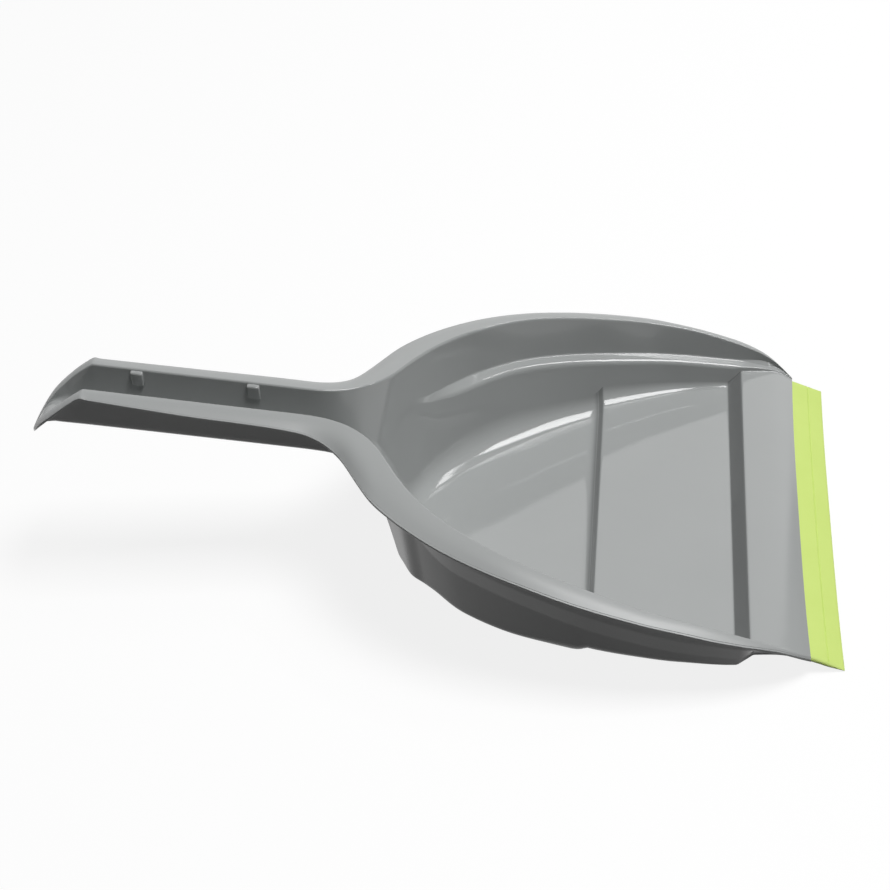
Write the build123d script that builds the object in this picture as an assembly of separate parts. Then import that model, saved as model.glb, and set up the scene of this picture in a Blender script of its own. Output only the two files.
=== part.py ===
from build123d import *
import math
import os

# Hand dustpan: a moulded pan with an open channel handle, and a soft lip bonded to its front.
# Frame: +X runs from the handle to the lip, +Y across the pan, +Z up, and the origin is at the
# bottom centre of the whole part. Stations along the pan are given as "back", the distance
# behind the tip of the lip. All sizes are in millimetres.

# Lengths measured back from the tip of the lip
OVERALL_LENGTH = 330.0
NECK_BACK = 214.0
HANDLE_END_LENGTH = 27.0
HANDLE_CORNER_BACK = OVERALL_LENGTH - HANDLE_END_LENGTH

# Rim crest, the inner edge of the flange: plan and height as shares of the pan's own sizes
PAN_HALF_WIDTH = 108.5
FRONT_INSET = 7.7
CREST_FRONT_HALF_WIDTH = PAN_HALF_WIDTH - FRONT_INSET
CREST_FRONT_HEIGHT = 7.6
CREST_NECK_HEIGHT = 66.8
CREST_END_HEIGHT = 82.4
RIM_PLAN = ((0.075, 0.955), (0.103, 0.978), (0.178, 0.996), (0.252, 1.0), (0.327, 0.989),
            (0.439, 0.938), (0.589, 0.827), (0.701, 0.675), (0.776, 0.510), (0.813, 0.389),
            (0.850, 0.248), (0.888, 0.164), (0.925, 0.117), (0.963, 0.094))
RIM_RISE = ((0.103, 0.228), (0.178, 0.346), (0.252, 0.439), (0.327, 0.512), (0.439, 0.617),
            (0.589, 0.744), (0.776, 0.861), (0.888, 0.937))

# Flange round the rim
FLANGE_THICKNESS = 1.5
FLANGE_FRONT_WIDTH = 2.4
FLANGE_SIDE_WIDTH = 6.2
FLANGE_MIDDLE_WIDTH = 9.4
FLANGE_REAR_WIDTH = 14.8
FLANGE_NECK_WIDTH = 10.5
FLANGE_END_WIDTH = 6.7
FLANGE_SIDE_BACK = 62.0
FLANGE_MIDDLE_BACK = 103.0
FLANGE_REAR_BACK = 175.0
FLANGE_LEAST_OVERHANG = 0.3
WALL_TOP_SHARE = 0.56

# Angle at which the flange droops outwards, at the same places
DROOP_FRONT_DEG = 19.0
DROOP_SIDE_DEG = 21.5
DROOP_MIDDLE_DEG = 17.0
DROOP_REAR_DEG = 11.0
DROOP_NECK_DEG = 15.0
DROOP_END_DEG = 8.6

# Walls, floor and its steps
WALL = 2.0
FLOOR_INSET = 9.5
FLOOR_HALF_WIDTH = PAN_HALF_WIDTH - FLOOR_INSET
FLOOR_REAR_BACK = 181.0
FLOOR_REAR_HALF_WIDTH = 13.0
FLOOR_PLAN = ((0.25, 1.0), (0.348, 0.990), (0.448, 0.949), (0.536, 0.898), (0.641, 0.803),
              (0.740, 0.697), (0.829, 0.576), (0.884, 0.480), (0.917, 0.404), (0.950, 0.313))
FLOOR_CORNER_RADIUS = 8.0
FLOOR_CORNER_REAR_BACK = 168.0
FRONT_CORNER_RADIUS = 3.0
CORNER_MOST_SHARE = 0.85
REAR_WALL_PROFILE = ((0.166, 0.09), (0.330, 0.56), (0.500, 0.82), (0.750, 0.95))
MOST_STEEPNESS = 2.2
FLOOR_SINK = 0.2
REAR_FLOOR_LIFT = 1.6
REAR_STEP_BACK = 156.0
REAR_STEP_RUN = 8.0
MIDDLE_FLOOR_LIFT = 3.8
MIDDLE_STEP_BACK = 97.0
MIDDLE_STEP_RUN = 5.0
APRON_REAR_LIFT = 9.6
APRON_MIDDLE_LIFT = 8.5
APRON_FRONT_LIFT = 4.9
FRONT_STEP_BACK = 35.1
FRONT_STEP_RUN = 6.1

# Ledge that stiffens the side walls
LEDGE_LENGTH = 4.0
LEDGE_TILT_DEG = 73.0
LEDGE_FRONT_BACK = 15.0
LEDGE_FRONT_FADE = 14.0
LEDGE_REAR_BACK = 173.5
LEDGE_REAR_FADE = 24.0
LEDGE_LINE = ((18.0, 10.4), (26.0, 12.5), (63.0, 18.5), (100.0, 25.5), (140.0, 32.8), (173.5, 40.6))
LEDGE_WALL_SHARE = 0.6
LEDGE_MOST_SHARE = 0.4
LEDGE_DROP_SHARE = 0.7

# Open channel of the handle
CHANNEL_HALF_WIDTH = 9.5
CHANNEL_FLOOR_HALF_WIDTH = 6.6
CHANNEL_DEPTH = 18.0
CHANNEL_CORNER_RADIUS = 4.5
CHANNEL_FLOOR_FRONT_BACK = 200.0
END_FLARE_LENGTH = 15.0
END_FLARE_BACK = OVERALL_LENGTH - END_FLARE_LENGTH
END_FLARE_DROP = 11.0
END_CUT_BULGE = 2.5
END_PLAN = ((0.28, 0.99), (0.52, 0.94), (0.73, 0.81), (0.87, 0.58), (0.96, 0.30))

# Moulded nubs that clip a brush handle
NUB_LENGTH = 5.4
NUB_HEIGHT = 6.5
NUB_PROUD = 1.6
NUB_BELOW_CREST = 0.6
NUB_ROUND = 1.0
NUB_PLACES = (0.255, 0.795)

# Soft lip
LIP_END_INSET = 0.8
LIP_LENGTH = 2 * (CREST_FRONT_HALF_WIDTH - LIP_END_INSET)
LIP_DEPTH = 12.8
LIP_CREASE_BACK = 6.0
LIP_CREASE_THICKNESS = 1.6
LIP_TIP_THICKNESS = 0.7
TONGUE_LENGTH = 4.2
TONGUE_THICKNESS = 0.9
CREASE_CLEARANCE = 0.15

# How far a cutting shape runs past what it cuts, and how far the flange plate first reaches inside
MARGIN = 30.0
FLANGE_OVERLAP = 3.0

# Where the front corners of the pan end and its long sides start
SIDE_START_BACK = 22.0

# Number of cross-sections along each stretch, from the lip to the end of the handle
FRONT_SECTIONS = 3
SIDE_SECTIONS = 13
REAR_SECTIONS = 6
HANDLE_SECTIONS = 10
END_SECTIONS = 3


def smooth_curve(points):
    """Return a function through the points that never overshoots them."""
    xs = [point[0] for point in points]
    ys = [point[1] for point in points]
    spans = [right - left for left, right in zip(xs, xs[1:])]
    rises = [(right - left) / span for left, right, span in zip(ys, ys[1:], spans)]
    slopes = [rises[0]]
    for i in range(1, len(rises)):
        before = rises[i - 1]
        after = rises[i]
        if before * after <= 0:
            slopes.append(0.0)
        else:
            weight_before = 2 * spans[i] + spans[i - 1]
            weight_after = spans[i] + 2 * spans[i - 1]
            slopes.append((weight_before + weight_after) / (weight_before / before + weight_after / after))
    slopes.append(rises[-1])

    def value(x):
        if x <= xs[0]:
            return ys[0] + slopes[0] * (x - xs[0])
        if x >= xs[-1]:
            return ys[-1] + slopes[-1] * (x - xs[-1])
        i = max(k for k in range(len(spans)) if xs[k] <= x)
        t = (x - xs[i]) / spans[i]
        start = (1 + 2 * t) * (1 - t) ** 2 * ys[i] + t * (1 - t) ** 2 * spans[i] * slopes[i]
        end = t * t * (3 - 2 * t) * ys[i + 1] - t * t * (1 - t) * spans[i] * slopes[i + 1]
        return start + end

    return value


def slope(curve, back):
    """Rise of the curve over one millimetre of its run."""
    return curve(back + 0.5) - curve(back - 0.5)


def steepness(curve, back):
    """Length of the curve per unit of its run."""
    return math.hypot(1.0, slope(curve, back))


def x_at(back):
    return OVERALL_LENGTH / 2 - back


# Master curves along the part
crest_half_width = smooth_curve(
    [(LIP_DEPTH, CREST_FRONT_HALF_WIDTH)]
    + [(NECK_BACK * along, PAN_HALF_WIDTH * across) for along, across in RIM_PLAN]
    + [(NECK_BACK, CHANNEL_HALF_WIDTH), (OVERALL_LENGTH, CHANNEL_HALF_WIDTH)])

crest_height = smooth_curve(
    [(LIP_DEPTH, CREST_FRONT_HEIGHT)]
    + [(NECK_BACK * along, CREST_NECK_HEIGHT * up) for along, up in RIM_RISE]
    + [(NECK_BACK, CREST_NECK_HEIGHT), (HANDLE_CORNER_BACK, CREST_END_HEIGHT)])

flange_width = smooth_curve([
    (LIP_DEPTH, FLANGE_FRONT_WIDTH), (FLANGE_SIDE_BACK, FLANGE_SIDE_WIDTH),
    (FLANGE_MIDDLE_BACK, FLANGE_MIDDLE_WIDTH), (FLANGE_REAR_BACK, FLANGE_REAR_WIDTH),
    (NECK_BACK, FLANGE_NECK_WIDTH), (HANDLE_CORNER_BACK, FLANGE_END_WIDTH)])

flange_droop = smooth_curve([
    (LIP_DEPTH, DROOP_FRONT_DEG), (FLANGE_SIDE_BACK, DROOP_SIDE_DEG),
    (FLANGE_MIDDLE_BACK, DROOP_MIDDLE_DEG), (FLANGE_REAR_BACK, DROOP_REAR_DEG),
    (NECK_BACK, DROOP_NECK_DEG), (HANDLE_CORNER_BACK, DROOP_END_DEG)])

floor_half_width = smooth_curve(
    [(LIP_DEPTH, FLOOR_HALF_WIDTH)]
    + [(FLOOR_REAR_BACK * along, FLOOR_HALF_WIDTH * across) for along, across in FLOOR_PLAN]
    + [(FLOOR_REAR_BACK, FLOOR_REAR_HALF_WIDTH), (CHANNEL_FLOOR_FRONT_BACK, CHANNEL_FLOOR_HALF_WIDTH),
       (OVERALL_LENGTH, CHANNEL_FLOOR_HALF_WIDTH)])

corner_radius = smooth_curve([
    (LIP_DEPTH, FRONT_CORNER_RADIUS), (MIDDLE_STEP_BACK, FLOOR_CORNER_RADIUS),
    (FLOOR_CORNER_REAR_BACK, FLOOR_CORNER_RADIUS), (NECK_BACK, CHANNEL_CORNER_RADIUS),
    (OVERALL_LENGTH, CHANNEL_CORNER_RADIUS)])


def channel_floor(back):
    """Height of the channel's floor, which turns down at the end of the handle."""
    flare = max(0.0, (back - END_FLARE_BACK) / (OVERALL_LENGTH - END_FLARE_BACK))
    return crest_height(back) - CHANNEL_DEPTH - END_FLARE_DROP * flare ** 2


# The hull's own floor is sunk a little, so that the flat stepped floor alone bounds the pan
hull_floor = WALL - FLOOR_SINK
rear_wall_start = FLOOR_REAR_BACK - FLOOR_CORNER_RADIUS
rear_wall_rise = channel_floor(NECK_BACK) - hull_floor
rear_wall_height = smooth_curve(
    [(rear_wall_start, hull_floor)]
    + [(rear_wall_start + (NECK_BACK - rear_wall_start) * along, hull_floor + rear_wall_rise * up)
       for along, up in REAR_WALL_PROFILE]
    + [(NECK_BACK, channel_floor(NECK_BACK))])


def bottom_height(back):
    """Height of the inside of the hull at its centre line, before the floor's steps."""
    if back >= NECK_BACK:
        return channel_floor(back)
    if back <= rear_wall_start:
        return hull_floor
    return rear_wall_height(back)


ledge_height_front = smooth_curve([(LIP_DEPTH, LEDGE_WALL_SHARE * CREST_FRONT_HEIGHT), *LEDGE_LINE])


def ledge_strength(back):
    """1 where the ledge is full, 0 where it has faded into the wall."""
    from_front = (back - LEDGE_FRONT_BACK) / LEDGE_FRONT_FADE
    from_rear = (LEDGE_REAR_BACK - back) / LEDGE_REAR_FADE
    share = min(1.0, max(0.0, min(from_front, from_rear)))
    return share * share * (3 - 2 * share)


def ledge_height(back):
    """Height of the middle of the ledge band, which leaves the ledge line behind the pan."""
    low = bottom_height(back)
    on_wall = low + LEDGE_WALL_SHARE * (crest_height(back) - low)
    share = min(1.0, max(0.0, (back - LEDGE_REAR_BACK) / (NECK_BACK - LEDGE_REAR_BACK)))
    share = share * share * (3 - 2 * share)
    return (1 - share) * ledge_height_front(back) + share * on_wall


def wall_points(back, outside):
    """Bottom corner, ledge inner edge, ledge outer edge and crest of the +Y wall at a station."""
    low = bottom_height(back)
    base = (floor_half_width(back), low)
    crest = (crest_half_width(back), crest_height(back) - WALL_TOP_SHARE * FLANGE_THICKNESS)
    lean = math.atan2(crest[0] - base[0], crest[1] - base[1])
    height = ledge_height(back)
    share = (height - base[1]) / (crest[1] - base[1])
    middle = base[0] + share * (crest[0] - base[0])
    strength = ledge_strength(back)
    tilt = lean + strength * (math.radians(LEDGE_TILT_DEG) - lean)
    half = min(LEDGE_LENGTH, LEDGE_MOST_SHARE * (crest[1] - base[1])) / 2
    inner = (middle - half * math.sin(tilt), height - half * math.cos(tilt))
    outer = (middle + half * math.sin(tilt), height + half * math.cos(tilt))
    if not outside:
        return base, inner, outer, crest
    crest_out = WALL * steepness(crest_half_width, back)
    base_out = WALL * min(steepness(floor_half_width, back), MOST_STEEPNESS)
    down = WALL * min(steepness(bottom_height, back), MOST_STEEPNESS)
    ledge_out = (crest_out + base_out) / 2
    ledge_down = LEDGE_DROP_SHARE * WALL * strength
    return ((base[0] + base_out, base[1] - down),
            (inner[0] + ledge_out, inner[1] - ledge_down),
            (outer[0] + ledge_out, outer[1] - ledge_down),
            (crest[0] + crest_out, crest[1]))


def hull_section(place, outside):
    """Closed cross-section of the pan and handle at a station, filled to well above the rim."""
    back = min(max(place, LIP_DEPTH), OVERALL_LENGTH)
    base, inner, outer, crest = wall_points(back, outside)
    radius = corner_radius(back)
    run = math.hypot(inner[0] - base[0], inner[1] - base[1])
    up = ((inner[0] - base[0]) / run, (inner[1] - base[1]) / run)
    half_angle = math.acos(-up[0]) / 2
    tangent = min(radius / math.tan(half_angle), CORNER_MOST_SHARE * base[0], CORNER_MOST_SHARE * run)
    radius = tangent * math.tan(half_angle)
    on_floor = (base[0] - tangent, base[1])
    on_wall = (base[0] + tangent * up[0], base[1] + tangent * up[1])
    bisector = (up[0] - 1, up[1])
    size = math.hypot(*bisector)
    reach = radius / math.sin(half_angle) - radius
    middle = (base[0] + bisector[0] / size * reach, base[1] + bisector[1] / size * reach)
    x = x_at(place)

    def at(point, side):
        return Vector(x, side * point[0], point[1])

    rise = [on_wall, inner, outer, crest]
    if outside:
        rim = crest_half_width(back)
        rise.append((rim - FLANGE_THICKNESS / 3, crest[1]))
        rise.append((rim - FLANGE_OVERLAP, crest[1] + 2 * FLANGE_OVERLAP))
    else:
        rise.append((crest[0], crest[1] + MARGIN))
    edges = [Line(at(on_floor, -1), at(on_floor, 1))]
    edges.append(ThreePointArc(at(on_floor, 1), at(middle, 1), at(on_wall, 1)))
    edges += [Line(at(a, 1), at(b, 1)) for a, b in zip(rise, rise[1:])]
    edges.append(Line(at(rise[-1], 1), at(rise[-1], -1)))
    edges += [Line(at(b, -1), at(a, -1)) for a, b in reversed(list(zip(rise, rise[1:])))]
    edges.append(ThreePointArc(at(on_wall, -1), at(middle, -1), at(on_floor, -1)))
    return Face(Wire(edges))


def even_steps(start, end, count):
    """Evenly spaced values after start, up to and with end."""
    return [start + (end - start) * i / count for i in range(1, count + 1)]


def stations():
    """Places of the cross-sections, closest where the shape turns fastest."""
    places = [LIP_DEPTH]
    places += even_steps(LIP_DEPTH, SIDE_START_BACK, FRONT_SECTIONS)
    places += even_steps(SIDE_START_BACK, rear_wall_start, SIDE_SECTIONS)
    places += even_steps(rear_wall_start, NECK_BACK, REAR_SECTIONS)
    places += even_steps(NECK_BACK, END_FLARE_BACK, HANDLE_SECTIONS)
    places += even_steps(END_FLARE_BACK, OVERALL_LENGTH, END_SECTIONS)
    return places


def flange_outer_curves():
    """Half-width and height of the flange's outer edge, square to the crest in plan."""
    widths = []
    heights = []
    for back in stations():
        if back > HANDLE_CORNER_BACK:
            break
        width = flange_width(back)
        square = steepness(crest_half_width, back)
        outer_back = back - width * slope(crest_half_width, back) / square
        widths.append((outer_back, crest_half_width(back) + width / square))
        fall = math.tan(math.radians(flange_droop(back)))
        heights.append((outer_back, crest_height(back) - width * fall))
    return smooth_curve(widths), smooth_curve(heights)


flange_half_width, flange_height = flange_outer_curves()


def flange_section(back):
    """Cross-section of the flange plate, from one outer edge over both crests to the other."""
    x = x_at(back)
    wall_across = WALL * steepness(crest_half_width, back)
    least = crest_half_width(back) + wall_across + FLANGE_LEAST_OVERHANG
    edge = (max(flange_half_width(back), least), flange_height(back))
    inner = crest_half_width(back) - FLANGE_OVERLAP
    ridge = crest_height(back) + FLANGE_OVERLAP * math.tan(math.radians(flange_droop(back)))
    points = [Vector(x, -edge[0], edge[1]), Vector(x, -inner, ridge),
              Vector(x, inner, ridge), Vector(x, edge[0], edge[1])]
    below = [point - Vector(0, 0, FLANGE_THICKNESS) for point in reversed(points)]
    return Face(Wire.make_polygon(points + below, close=True))


def loft_stations(section, overshoot=0.0):
    """Skin the sections at all stations, running past both ends by the overshoot."""
    places = stations()
    if overshoot:
        places = [LIP_DEPTH - overshoot] + places[:-1] + [OVERALL_LENGTH + overshoot]
    return loft([section(place) for place in places])


def side_profile(lower_edge):
    """Everything above a line of (back, height) points with a curved apron, across the whole pan."""
    points = [Vector(x_at(back), 0, height) for back, height in lower_edge]
    apron_rear, apron_middle, apron_front = points[-3:]
    path = Polyline(points[:-2])
    apron = ThreePointArc(apron_rear, apron_middle, apron_front)
    nose = apron_front + Vector(MARGIN, 0, -MARGIN / 2)
    top = CREST_END_HEIGHT + 2 * MARGIN
    frame = Polyline(apron_front, nose, Vector(nose.X, 0, top), Vector(points[0].X, 0, top), points[0])
    outline = Wire([*path.edges(), apron, *frame.edges()])
    return extrude(Face(outline), 2 * PAN_HALF_WIDTH, dir=(0, 1, 0), both=True)


def floor_line(lift):
    """The stepped floor from the back to the front, raised by lift."""
    return [(OVERALL_LENGTH + MARGIN, REAR_FLOOR_LIFT + lift),
            (REAR_STEP_BACK + REAR_STEP_RUN, REAR_FLOOR_LIFT + lift),
            (REAR_STEP_BACK, lift),
            (MIDDLE_STEP_BACK + MIDDLE_STEP_RUN, lift),
            (MIDDLE_STEP_BACK, MIDDLE_FLOOR_LIFT + lift),
            (FRONT_STEP_BACK + FRONT_STEP_RUN, MIDDLE_FLOOR_LIFT + lift),
            (FRONT_STEP_BACK, APRON_REAR_LIFT + lift),
            ((FRONT_STEP_BACK + LIP_DEPTH) / 2, APRON_MIDDLE_LIFT + lift),
            (LIP_DEPTH, APRON_FRONT_LIFT + lift)]


def handle_end_cut():
    """What is removed to give the handle its slanted, rounded end."""
    corner = Vector(x_at(HANDLE_CORNER_BACK), 0, CREST_END_HEIGHT)
    tip = Vector(x_at(OVERALL_LENGTH), 0, channel_floor(OVERALL_LENGTH))
    slant = (tip - corner).normalized()
    outward = Vector(slant.Z, 0, -slant.X)
    if outward.Z < 0:
        outward = outward * -1
    crown = (corner + tip) * 0.5 + outward * END_CUT_BULGE
    below = tip + slant * MARGIN
    above = corner + outward * 2 * MARGIN
    frame = Polyline(tip, below, below + outward * 2 * MARGIN, above, corner)
    outline = Wire([ThreePointArc(corner, crown, tip), *frame.edges()])
    return extrude(Face(outline), 2 * MARGIN, dir=(0, 1, 0), both=True)


def end_outline():
    """Upright prism with the rounded plan of the handle's end."""
    run = OVERALL_LENGTH - HANDLE_CORNER_BACK
    half_width = flange_half_width(HANDLE_CORNER_BACK)
    side = [(0.0, 1.0), *END_PLAN]
    near = [Vector(x_at(HANDLE_CORNER_BACK + run * along), -half_width * across) for along, across in side]
    far = [Vector(point.X, -point.Y) for point in reversed(near)]
    curve = Spline(*near, Vector(x_at(OVERALL_LENGTH), 0), *far)
    outline = Wire([curve, Line(far[-1], near[0])])
    return extrude(Face(outline), CREST_END_HEIGHT + MARGIN, dir=(0, 0, 1))


def shape_handle_end(body):
    """Slant the end of the handle, carry the flange on round it and round it in plan."""
    cut = handle_end_cut()
    outline = end_outline()
    band = (Pos(0, 0, -FLANGE_THICKNESS) * cut - cut) & outline
    block = Box(2 * MARGIN, 2 * MARGIN, 2 * (CREST_END_HEIGHT + MARGIN))
    beyond = Pos(x_at(HANDLE_CORNER_BACK) - MARGIN, 0, 0) * block - outline
    return body - cut + band - beyond


def nubs():
    """Pairs of moulded lumps on the channel's walls, just below the flange."""
    lumps = []
    for along in NUB_PLACES:
        back = NECK_BACK + (HANDLE_CORNER_BACK - NECK_BACK) * along
        middle = crest_height(back) - NUB_BELOW_CREST - NUB_HEIGHT / 2
        depth = NUB_PROUD + WALL / 2
        lump = Box(NUB_LENGTH, depth, NUB_HEIGHT)
        lump = fillet(lump.edges(), NUB_ROUND)
        lean = (CHANNEL_HALF_WIDTH - CHANNEL_FLOOR_HALF_WIDTH) / CHANNEL_DEPTH
        wall = crest_half_width(back) - lean * (NUB_BELOW_CREST + NUB_HEIGHT / 2)
        for side in (-1, 1):
            lumps.append(Pos(x_at(back), side * (wall + WALL / 2 - depth / 2), middle) * lump)
    return lumps


def lip_top(back):
    """Height of the lip's top face."""
    root = APRON_FRONT_LIFT + WALL
    return LIP_TIP_THICKNESS + (root - LIP_TIP_THICKNESS) * back / LIP_DEPTH


def across_lip(outline):
    """Solid with the given outline of (back, height) points, as long as the lip."""
    points = [Vector(x_at(back), 0, height) for back, height in outline]
    return extrude(Face(Wire.make_polygon(points, close=True)), LIP_LENGTH / 2, dir=(0, 1, 0), both=True)


def crease_rod(radius):
    middle = lip_top(LIP_CREASE_BACK) - LIP_CREASE_THICKNESS / 2
    rod = Cylinder(radius, LIP_LENGTH, rotation=(90, 0, 0))
    return Pos(x_at(LIP_CREASE_BACK), 0, middle) * rod


def lip_under(back):
    """Height of the lip's underside, straight from the tip to the crease and on to the pan."""
    at_crease = lip_top(LIP_CREASE_BACK) - LIP_CREASE_THICKNESS
    if back <= LIP_CREASE_BACK:
        return at_crease * back / LIP_CREASE_BACK
    share = (back - LIP_CREASE_BACK) / (LIP_DEPTH - LIP_CREASE_BACK)
    return at_crease + (APRON_FRONT_LIFT - at_crease) * share


def make_tongue():
    """Thin front edge of the pan that carries the lip, with its root inside the apron."""
    front = LIP_DEPTH - TONGUE_LENGTH
    rear = LIP_DEPTH + WALL
    return across_lip([(rear, lip_under(rear) + TONGUE_THICKNESS / 2),
                       (LIP_DEPTH, lip_under(LIP_DEPTH)),
                       (front, lip_under(front)),
                       (front, lip_under(front) + TONGUE_THICKNESS),
                       (LIP_DEPTH, lip_under(LIP_DEPTH) + TONGUE_THICKNESS),
                       (rear, lip_under(rear) + TONGUE_THICKNESS)])


def make_pan_body():
    """The one moulding: pan, rim flange, ledge, stepped floor, channel handle, nubs and tongue."""
    hull = loft_stations(lambda place: hull_section(place, True))
    flange = loft_stations(flange_section)
    body = (hull & side_profile(floor_line(0.0))) + flange
    body = shape_handle_end(body)
    cavity = loft_stations(lambda place: hull_section(place, False), MARGIN / 4)
    body = body - (cavity & side_profile(floor_line(WALL)))
    return body + nubs() + make_tongue()


def make_lip_root():
    """Rear part of the lip, bonded on the tongue, with a groove along the crease."""
    front = LIP_DEPTH - TONGUE_LENGTH
    outline = [(LIP_DEPTH, lip_top(LIP_DEPTH)), (LIP_CREASE_BACK, lip_top(LIP_CREASE_BACK)),
               (LIP_CREASE_BACK, lip_under(LIP_CREASE_BACK)), (front, lip_under(front)),
               (front, lip_under(front) + TONGUE_THICKNESS),
               (LIP_DEPTH, lip_under(LIP_DEPTH) + TONGUE_THICKNESS)]
    return across_lip(outline) - crease_rod(LIP_CREASE_THICKNESS / 2 + CREASE_CLEARANCE)


def make_lip_blade():
    """Thin front part of the lip, which bends up and down at the crease."""
    outline = [(LIP_CREASE_BACK, lip_top(LIP_CREASE_BACK)), (0.0, LIP_TIP_THICKNESS), (0.0, 0.0),
               (LIP_CREASE_BACK, lip_under(LIP_CREASE_BACK))]
    return across_lip(outline) + crease_rod(LIP_CREASE_THICKNESS / 2)


parts = {"pan_body": make_pan_body(), "lip_root": make_lip_root(), "lip_blade": make_lip_blade()}
os.makedirs("parts", exist_ok=True)
for name, part in parts.items():
    export_step(part, f"parts/{name}.step")
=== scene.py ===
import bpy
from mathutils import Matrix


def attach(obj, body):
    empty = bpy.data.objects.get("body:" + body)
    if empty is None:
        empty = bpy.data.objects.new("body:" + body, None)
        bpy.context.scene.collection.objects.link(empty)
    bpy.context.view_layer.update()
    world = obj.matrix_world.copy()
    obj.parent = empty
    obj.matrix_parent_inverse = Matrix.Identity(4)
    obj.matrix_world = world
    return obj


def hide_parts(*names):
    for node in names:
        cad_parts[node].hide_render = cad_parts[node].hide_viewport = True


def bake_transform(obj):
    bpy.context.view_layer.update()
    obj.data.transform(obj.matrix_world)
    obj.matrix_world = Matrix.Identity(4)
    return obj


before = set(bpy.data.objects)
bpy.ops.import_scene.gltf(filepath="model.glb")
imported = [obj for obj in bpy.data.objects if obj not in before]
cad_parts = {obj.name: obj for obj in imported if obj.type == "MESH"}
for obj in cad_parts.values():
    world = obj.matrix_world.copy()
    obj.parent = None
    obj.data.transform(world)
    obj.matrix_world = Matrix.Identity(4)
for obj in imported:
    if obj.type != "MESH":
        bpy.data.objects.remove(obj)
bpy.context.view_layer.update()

import math
from collections import namedtuple

import bpy
import numpy as np
from mathutils import Matrix, Vector

# Lengths are in millimetres, and the meshes are made in metres. A place along the part is given as
# "back", the distance behind the tip of the lip, as in the part's source.
MM = 0.001
OVERALL_LENGTH = 330.0
NECK_BACK = 214.0
CORNER_BACK = 303.0
LIP_DEPTH = 12.8
LIP_ROOT_HEIGHT = 6.9
WALL = 2.0

# Rim crest: half-widths and heights, as shares of the neck's place and of the pan's own sizes
PAN_HALF_WIDTH = 108.5
CREST_FRONT_HALF_WIDTH = 100.8
CREST_FRONT_HEIGHT = 7.6
CREST_NECK_HEIGHT = 66.8
CREST_END_HEIGHT = 82.4
RIM_PLAN = ((0.075, 0.955), (0.103, 0.978), (0.178, 0.996), (0.252, 1.0), (0.327, 0.989),
            (0.439, 0.938), (0.589, 0.827), (0.701, 0.675), (0.776, 0.510), (0.813, 0.389),
            (0.850, 0.248), (0.888, 0.164), (0.925, 0.117), (0.963, 0.094))
RIM_RISE = ((0.103, 0.228), (0.178, 0.346), (0.252, 0.439), (0.327, 0.512), (0.439, 0.617),
            (0.589, 0.744), (0.776, 0.861), (0.888, 0.937))
CREST_PLAN_SOFTNESS = 2.5
CREST_LINE_SOFTNESS = 3.0

# Outer edge of the flange: half-widths and heights at places behind the lip
EDGE_PLAN = ((LIP_DEPTH, 102.0), (15.0, 103.7), (22.0, 108.2), (30.0, 111.0), (38.0, 112.9), (54.0, 114.3),
             (70.0, 114.2), (86.0, 112.3), (102.0, 109.0), (118.0, 104.0), (134.0, 97.6), (150.0, 88.8),
             (166.0, 76.3), (174.0, 68.2), (182.0, 58.4), (190.0, 43.8), (198.0, 29.4), (206.0, 22.7),
             (NECK_BACK, 20.0), (262.0, 18.2), (CORNER_BACK, 16.2))
EDGE_RISE = ((LIP_DEPTH, 6.8), (15.0, 8.7), (22.0, 14.9), (30.0, 19.0), (46.0, 24.6), (70.0, 32.2),
             (102.0, 40.5), (126.0, 46.3), (150.0, 50.9), (174.0, 54.8), (190.0, 56.8), (198.0, 58.7),
             (206.0, 61.5), (NECK_BACK, 63.9), (262.0, 73.2), (CORNER_BACK, 81.4))
EDGE_PLAN_SOFTNESS = 2.0
EDGE_RISE_SOFTNESS = 2.5
DROOP_SOFTNESS = 1.2
FLANGE_THICKNESS = 1.25
FLANGE_LEAST_BREADTH = 0.02
FLANGE_ROOT_SHARE = 0.6
CROWN_SHARE = 0.075

# Small step along the flange's edge, which fades towards the neck
STEP_INSET = 0.7
STEP_MOST_SHARE = 0.3
STEP_DROP = 0.16
STEP_SLANT = 0.1
STEP_FADE = 0.7
STEP_FADE_BACKS = (110.0, 160.0)

# Floor: where the walls meet it in plan, as shares of its own sizes, and its levels
FLOOR_HALF_WIDTH = 99.0
FLOOR_REAR_BACK = 181.0
FLOOR_REAR_HALF_WIDTH = 13.0
FLOOR_PLAN = ((0.25, 0.990), (0.348, 0.979), (0.448, 0.940), (0.536, 0.894), (0.641, 0.808),
              (0.740, 0.706), (0.829, 0.586), (0.884, 0.480), (0.917, 0.404), (0.950, 0.313))
FLOOR_PLAN_SOFTNESS = 2.0
APRON_HEIGHT = 11.6
APRON_BACK = 40.0
APRON_LINE = ((LIP_DEPTH, LIP_ROOT_HEIGHT), (16.0, 8.75), (18.5, 9.8), (21.0, 10.5), (26.0, 11.2),
              (31.0, 11.5), (APRON_BACK, APRON_HEIGHT))
APRON_SOFTNESS = 0.8
MIDDLE_HEIGHT = 5.5
MIDDLE_BACK = 97.1
FRONT_STEP = ((35.3, APRON_HEIGHT), (41.6, MIDDLE_HEIGHT))
COVE_DEPTH = 6.2
COVE_POWER = 2.1
COVE_SOFT_BACK = 99.3
STEP_SOFTNESS = 0.42
COVE_SOFTNESS = 0.8
# Painted shade on the risers: the falls of the floor between which it fades in, and the place behind which
# none is painted
RISER_SHADE_SLOPES = (0.25, 0.85)
RISER_SHADE_LAST_BACK = 110.0

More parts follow.
